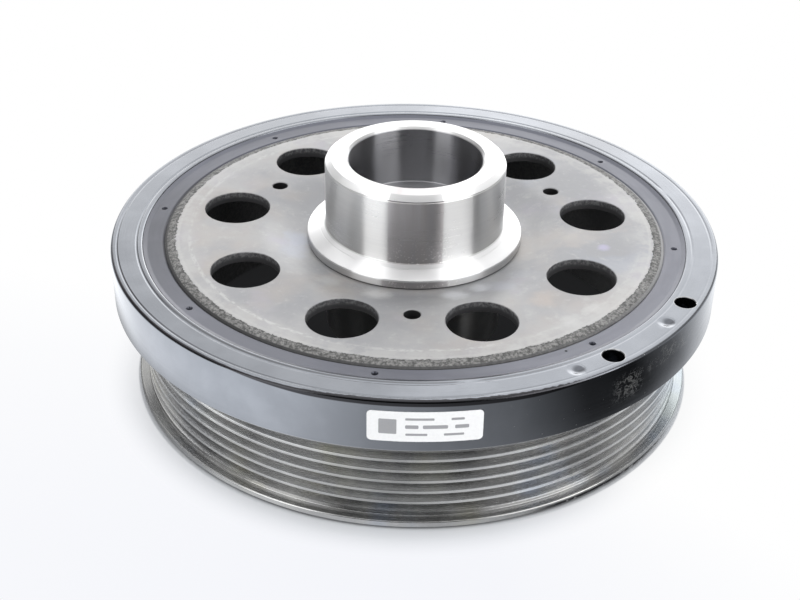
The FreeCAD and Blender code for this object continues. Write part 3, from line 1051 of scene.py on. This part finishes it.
def windowSection(radius):
    # A plug that is taller than the sheet, flared at the sheet's top face, with rows for the torn wall
    sheet, chamfer = discValues["sheet"], discValues["chamfer"]
    points = [(0, -sheet - 1 * mm), (radius, -sheet - 1 * mm)]
    points += [(radius, -sheet - 0.2 * mm + step * 0.35 * mm) for step in range(9)]
    return points + [(radius, -chamfer), (radius + chamfer + 1 * mm, 1 * mm), (0, 1 * mm)]


def tornWall(radius, height, angle):
    # Sheared holes are smooth near the top face and torn below it
    if radius < 1 * mm or height > -1.2 * mm:
        return radius, height
    rough = noise.noise(Vector((math.cos(angle) * 9, math.sin(angle) * 9, height * 1500)))
    return radius + rough * discValues["shearRoughness"], height


def hubDiscPiece(material, tree):
    values = discValues
    piece = lathePiece("hubDisc", cupOutline(), values["segments"])
    for key, shift in (("windows", tornWall), ("toolHoles", None)):
        cutHoles(piece, tree, material, values[key], windowSection(values[key]["radius"]), discHigh.z, shift)
    finishPiece(piece, "hub_disc", sharpAngle=25.0)


# Grit on the shoulder of the cup, where the rubber mould closed on the sheet

gritValues = {
    "segments": 180,
    "inner": 71.9 * mm,
    "outer": 74.3 * mm,
    "below": 2.4 * mm,
    "density": 3.4e6,
    "size": 0.14 * mm,
    "ragged": 0.7 * mm,
    "seed": 7,
}


def gritTree():
    tree, given = addTree("shoulderGrit", {
        "Geometry": "Geometry", "Density": "Float", "Grain Size": "Float", "Inner Radius": "Float",
        "Ragged Width": "Float", "Seed": "Int", "Material": "Material",
    })
    spread = addNode(tree, "GeometryNodeDistributePointsOnFaces", {
        "Mesh": given["Geometry"], "Density": given["Density"], "Seed": given["Seed"],
    })
    place = addNode(tree, "GeometryNodeInputPosition")[0]
    axes = axesOf(place)
    radius = vectorMathOf("LENGTH", {0: vectorOf(axes[0], axes[1])}, "Value")
    edge = given["Inner Radius"] + noiseOf(place, 800, 3, 0.7) * given["Ragged Width"]
    chosen = {"Geometry": spread[0], "Selection": mathOf("LESS_THAN", radius, edge)}
    kept = addNode(tree, "GeometryNodeDeleteGeometry", chosen, domain="POINT")
    grain = addNode(tree, "GeometryNodeMeshIcoSphere", {"Radius": given["Grain Size"], "Subdivisions": 1})
    sizes = addNode(tree, "FunctionNodeRandomValue", {2: 0.35, 3: 1.0, "Seed": given["Seed"]}, data_type="FLOAT")[1]
    placed = addNode(tree, "GeometryNodeInstanceOnPoints", {
        "Points": kept[0], "Instance": grain[0], "Rotation": spread["Rotation"],
        "Scale": vectorOf(sizes, sizes, sizes * 0.55),
    })
    closeTree(tree, placed[0], given["Material"])
    return tree


def shoulderGritPiece(material):
    values = gritValues
    band = [(values["inner"], discHigh.z)]
    for point in cupOutline():
        across = values["inner"] + 0.01 * mm < point.x < values["outer"] + 0.3 * mm
        if across and point.y > discHigh.z - values["below"]:
            band.append(point)
    piece = addObject("shoulderGrit", latheMesh("shoulderGrit", band, values["segments"], closed=False))
    runTree(piece, gritTree(), {
        "Density": values["density"],
        "Grain Size": values["size"],
        "Inner Radius": values["inner"],
        "Ragged Width": values["ragged"],
        "Seed": values["seed"],
        "Material": material,
    })
    finishPiece(piece, None, sharpAngle=60.0)


# Damper rubber: a flat top with gate marks, a crevice beside the cup and a lip against the ring

rubberValues = {
    "segments": 320,
    "belowRing": 0.90 * mm,
    "lipBelowRing": 0.33 * mm,
    "lipWidth": 1.3 * mm,
    "lipRounding": 1.2 * mm,
    "creviceOuter": 75.95 * mm,
    "creviceInner": 75.25 * mm,
    "creviceDepth": 0.40 * mm,
    "gates": {"count": 8, "radius": 0.80 * mm, "circle": 78.4 * mm, "first": -7.5, "step": 45.0, "sides": 24},
    "gateDepth": 1.30 * mm,
}


def damperRubberPiece(material, tree):
    values = rubberValues
    outer = rubberHigh.x
    inner = discHigh.x
    top = ringHigh.z - values["belowRing"]
    # The inner side follows the cup's shoulder down to its straight wall
    wall = [point for point in cupOutline() if point.x > values["creviceInner"] and point.y > rubberLow.z + 1 * mm]
    wall.sort(key=lambda point: -point.y)
    outline = roundedOutline([
        (inner, rubberLow.z, 0),
        (outer, rubberLow.z, 0),
        (outer, ringHigh.z - values["lipBelowRing"], 0.08 * mm),
        (outer - values["lipWidth"], top, values["lipRounding"]),
        (values["creviceOuter"], top, 0.25 * mm),
        (values["creviceInner"], top - values["creviceDepth"], 0),
    ] + [(point.x, point.y, 0) for point in wall])
    piece = lathePiece("damperRubber", outline, values["segments"])
    reach, low = values["gates"]["radius"], -values["gateDepth"]
    section = [(0, low), (reach * 0.75, low), (reach, -0.15 * mm)]
    section += [(reach + 0.15 * mm, 0), (reach + 0.15 * mm, 1 * mm), (0, 1 * mm)]
    cutHoles(piece, tree, material, values["gates"], section, top)
    finishPiece(piece, "damper_rubber", sharpAngle=35.0)


# Inertia ring: coated iron with balance holes, dimples and two fine turned grooves in its top face

ringValues = {
    "segments": 360,
    "bore": 81.8 * mm,
    "boreRounding": 0.6 * mm,
    "topRounding": 0.85 * mm,
    "footChamfer": 3.0 * mm,
    "grooves": [
        {"radius": 83.65 * mm, "width": 1.10 * mm, "depth": 0.17 * mm, "gaps": (-80.2, 17.0)},
        {"radius": 89.40 * mm, "width": 1.00 * mm, "depth": 0.14 * mm, "gaps": ()},
    ],
    "faintMiddle": -45.0,
    "faintHalf": 30.0,
    "faintShare": 0.25,
    "gapWidth": 3.0,
    "balanceHoles": {"count": 2, "radius": 3 * mm, "circle": 86.7 * mm, "first": -52.8, "step": 23.8, "sides": 56},
    "holeDepth": 11.0 * mm,
    "holeEdge": 0.2 * mm,
    "drillHalfAngle": 59.0,
    "dimples": {"count": 2, "radius": 3.15 * mm, "circle": 86.7 * mm, "first": -61.0, "step": 23.8, "sides": 48},
    "dimpleDepth": 0.60 * mm,
    "dimpleSteps": 12,
    "topRows": 70,
}


def fineGrooves(radius, height, angle):
    # Sinks the fine grooves, with short breaks where the real ones stop
    values = ringValues
    if height < ringHigh.z - 1e-7:
        return radius, height
    sink = 0.0
    degrees = math.degrees(angle)
    aside = abs((degrees - values["faintMiddle"] + 180) % 360 - 180)
    faint = max(values["faintShare"], min(1.0, (aside - values["faintHalf"]) / 10 + values["faintShare"]))
    for groove in values["grooves"]:
        share = abs(radius - groove["radius"]) / (groove["width"] / 2)
        if share >= 1:
            continue
        cut = 1.0
        for gap in groove["gaps"]:
            away = abs((degrees - gap + 180) % 360 - 180)
            cut = min(cut, max(0.0, min(1.0, (away - values["gapWidth"] / 2) / 1.5)))
        sink += groove["depth"] * (0.5 + 0.5 * math.cos(math.pi * share)) * min(cut, faint)
    return radius, height - sink


def inertiaRingPiece(material, tree):
    values = ringValues
    top = ringHigh.z
    low = ringLow.z
    outer = ringHigh.x
    bore = values["bore"]
    foot = values["footChamfer"]
    soft = 0.25 * mm
    section = roundedOutline([
        (bore, low, soft),
        (outer - foot, low, soft),
        (outer, low + foot, soft),
        (outer, top, values["topRounding"]),
        (bore, top, values["boreRounding"]),
    ], 8.0)
    # The top face gets many rows, for the fine grooves
    outline = []
    rows = values["topRows"]
    for index, point in enumerate(section):
        outline.append(point)
        after = section[(index + 1) % len(section)]
        if abs(point.y - top) < 1e-7 and abs(after.y - top) < 1e-7:
            outline += [(point.x + (after.x - point.x) * step / rows, top) for step in range(1, rows)]
    piece = lathePiece("inertiaRing", outline, values["segments"], fineGrooves)
    reach = values["balanceHoles"]["radius"]
    low = -values["holeDepth"]
    edge = values["holeEdge"]
    section = [(0, low - reach / math.tan(math.radians(values["drillHalfAngle"]))), (reach, low), (reach, -edge)]
    section += [(reach + edge + 1 * mm, 1 * mm), (0, 1 * mm)]
    cutHoles(piece, tree, material, values["balanceHoles"], section, top)
    reach = values["dimples"]["radius"]
    section = []
    for step in range(values["dimpleSteps"] + 1):
        share = step / values["dimpleSteps"]
        bowl = -values["dimpleDepth"] * (0.5 + 0.5 * math.cos(math.pi * share)) + 0.02 * mm * share
        section.append((reach * share, bowl))
    section += [(reach, 1 * mm), (0, 1 * mm)]
    cutHoles(piece, tree, material, values["dimples"], section, top)
    finishPiece(piece, "inertia_ring", sharpAngle=30.0)


# Crankshaft sleeve with its collar, spigot, blind bore and bolt hole

sleeveValues = {
    "segments": 256,
    "bore": 20.0 * mm,
    "boreDepth": 18.5 * mm,
    "wall": 7.0 * mm,
    "boreEdge": 0.8 * mm,
    "edgeWidth": 1.9 * mm,
    "edgeHeight": 1.4 * mm,
    "nick": 0.24 * mm,
    "collarEdge": 2.9 * mm,
    "collarRise": 2.6 * mm,
    "faceLine": 28.7 * mm,
    "boltHole": 9.25 * mm,
    "boltSeat": 17.0 * mm,
    "boltSeatDepth": 6.0 * mm,
    "undercut": 0.35 * mm,
}


def crankSleevePiece(material):
    values = sleeveValues
    top = sleeveHigh.z
    outer = values["bore"] + values["wall"]
    bore = values["bore"]
    edge = values["boreEdge"]
    floor = top - values["boreDepth"]
    disc = discHigh.z - discValues["dishDepth"]
    collarTop = disc + values["collarEdge"]
    collar = sleeveHigh.x
    soft = 0.10 * mm
    nick = values["nick"]

    def onFace(radius):
        return collarTop + values["collarRise"] * (collar - radius) / (collar - outer)

    line = values["faceLine"]
    outline = roundedOutline([
        (values["boltHole"], floor, 0.3 * mm),
        (bore, floor, 0.4 * mm),
        (bore, top - edge, soft),
        (bore + edge, top, soft),
        (outer - values["edgeWidth"], top, soft),
        (outer - nick, top - values["edgeHeight"], 0.05 * mm),
        (outer - nick, top - values["edgeHeight"] - nick, 0),
        (outer, top - values["edgeHeight"] - 2 * nick, 0.05 * mm),
        (outer, collarTop + values["collarRise"], 0.25 * mm),
        (outer + 0.5 * mm, onFace(outer + 0.5 * mm), 0),
        (line - 0.22 * mm, onFace(line - 0.22 * mm), 0),
        (line - 0.15 * mm, onFace(line - 0.15 * mm), 0),
        (line, onFace(line) - 0.06 * mm, 0),
        (line + 0.15 * mm, onFace(line + 0.15 * mm), 0),
        (line + 0.22 * mm, onFace(line + 0.22 * mm), 0),
        (collar, collarTop, 0.3 * mm),
        (collar, disc + values["undercut"], soft),
        (collar - values["undercut"], disc + values["undercut"], 0),
        (collar - values["undercut"], disc, 0),
        (outer, disc, 0),
        (outer, sleeveLow.z, 0.5 * mm),
        (values["boltSeat"], sleeveLow.z, 0.4 * mm),
        (values["boltSeat"], sleeveLow.z + values["boltSeatDepth"], 0.3 * mm),
        (values["boltHole"], sleeveLow.z + values["boltSeatDepth"], 0.3 * mm),
    ])
    piece = lathePiece("crankSleeve", outline, values["segments"], material=material)
    finishPiece(piece, "crank_sleeve", sharpAngle=30.0)


# Weld run under the disc, with the ripples that a torch leaves

weldValues = {"segments": 384, "leg": 2.5 * mm, "hollow": 0.35 * mm, "steps": 8, "ripples": 96, "ripple": 0.10 * mm}


def hubWeldPiece(material):
    values = weldValues
    leg = values["leg"]
    inner = weldHigh.x - leg
    top = weldHigh.z
    outline = [(inner, top - leg)]
    for step in range(1, values["steps"]):
        share = step / values["steps"]
        hollow = values["hollow"] * math.sin(math.pi * share)
        outline.append((inner + leg * share - hollow, top - leg * (1 - share) + hollow))
    outline += [(inner + leg, top), (inner, top)]

    def ripple(radius, height, angle):
        if radius < inner + 1e-6 or height > top - 1e-6:
            return radius, height
        wave = values["ripple"] * (0.5 + 0.5 * math.sin(angle * values["ripples"]))
        return radius - wave, height + wave * 0.6

    piece = lathePiece("hubWeld", outline, values["segments"], ripple, material)
    finishPiece(piece, "hub_weld", sharpAngle=50.0)


# Label: a blank sticker with plain grey marks, bent round the ring's wall

labelValues = {
    "angle": -88.2,
    "width": 29.8 * mm,
    "height": 9.3 * mm,
    "corner": 1.2 * mm,
    "thickness": 0.10 * mm,
    "markThickness": 0.02 * mm,
    # Marks: middle along the wall, middle height, width, height, in mm from the label's middle
    "marks": [(-9.6, 0.0, 4.6, 4.6), (-1.4, 2.4, 7.4, 0.7), (8.3, 2.4, 3.4, 0.7),
              (-3.4, 0.0, 3.4, 1.1), (2.6, 0.0, 6.4, 1.1), (9.4, 0.0, 3.6, 1.1),
              (-2.2, -2.4, 5.6, 0.7), (7.4, -2.4, 5.2, 0.7)],
}


def wallPatch(build, middleAngle, middleHeight, width, height, corner, inner, thickness):
    # A plate with rounded corners that follows the ring's wall
    rim = []
    for sideX, sideZ, first in ((1, 1, 0), (-1, 1, 90), (-1, -1, 180), (1, -1, 270)):
        for step in range(7):
            bend = math.radians(first + 15 * step)
            rim.append((sideX * (width / 2 - corner) + corner * math.cos(bend),
                        sideZ * (height / 2 - corner) + corner * math.sin(bend)))
    columns = {round(spot[0], 9) for spot in rim}
    columns |= {-width / 2 + corner + (width - 2 * corner) * step / 16 for step in range(17)}

    def reach(x):
        inside = max(0.0, abs(x) - (width / 2 - corner))
        return height / 2 - corner + math.sqrt(max(0.0, corner ** 2 - inside ** 2))

    outerRadius = inner + thickness
    rows = []
    for x in sorted(columns):
        angle = middleAngle + x / outerRadius
        ends = []
        for radius in (inner, outerRadius):
            for side in (-1, 1):
                ends.append(build.verts.new((radius * math.cos(angle), radius * math.sin(angle),
                                             middleHeight + side * reach(x))))
        rows.append(ends)
    for here, there in zip(rows, rows[1:]):
        for first, second in ((2, 3), (1, 0), (3, 1), (0, 2)):
            build.faces.new((here[first], there[first], there[second], here[second]))
    build.faces.new([rows[0][corner] for corner in (0, 2, 3, 1)])
    build.faces.new([rows[-1][corner] for corner in (0, 1, 3, 2)])


def labelPiece(name, material, replaced, patches):
    build = bmesh.new()
    for patch in patches:
        wallPatch(build, *patch)
    mesh = bpy.data.meshes.new(name)
    build.to_mesh(mesh)
    build.free()
    finishPiece(addObject(name, mesh, material), replaced, sharpAngle=30.0)


def labelPieces(paper, ink):
    values = labelValues
    middle = (labelLow.z + labelHigh.z) / 2
    angle = math.radians(values["angle"])
    inner = ringHigh.x + 0.02 * mm
    outer = inner + values["thickness"]
    labelPiece("blankLabel", paper, "blank_label", [
        (angle, middle, values["width"], values["height"], values["corner"], inner, values["thickness"]),
    ])
    labelPiece("labelMarks", ink, None, [
        (angle + x * mm / outer, middle + z * mm, width * mm, height * mm, min(0.3, height / 3) * mm, outer,
         values["markThickness"])
        for x, z, width, height in values["marks"]
    ])


addCamera()
addSoftboxes()
addWorld()
addFloor()
print("camera, softboxes, world and table are set")

discSteel = discSteelMaterial()
ringCoating = ringCoatingMaterial()
rubber = rubberMaterial()
holes = holeTree()

beltPulleyPiece(pulleySteelMaterial())
hubDiscPiece(discSteel, holes)
shoulderGritPiece(gritMaterial())
damperRubberPiece(rubber, holes)
inertiaRingPiece(ringCoating, holes)
crankSleevePiece(sleeveSteelMaterial())
hubWeldPiece(weldMaterial())
labelPieces(
    labelMaterial("labelPaper", rgb(0.80), 0.55),
    labelMaterial("labelInk", rgb(0.30, 0.30, 0.31), 0.45),
)

bpy.context.scene.view_settings.view_transform = "Standard"
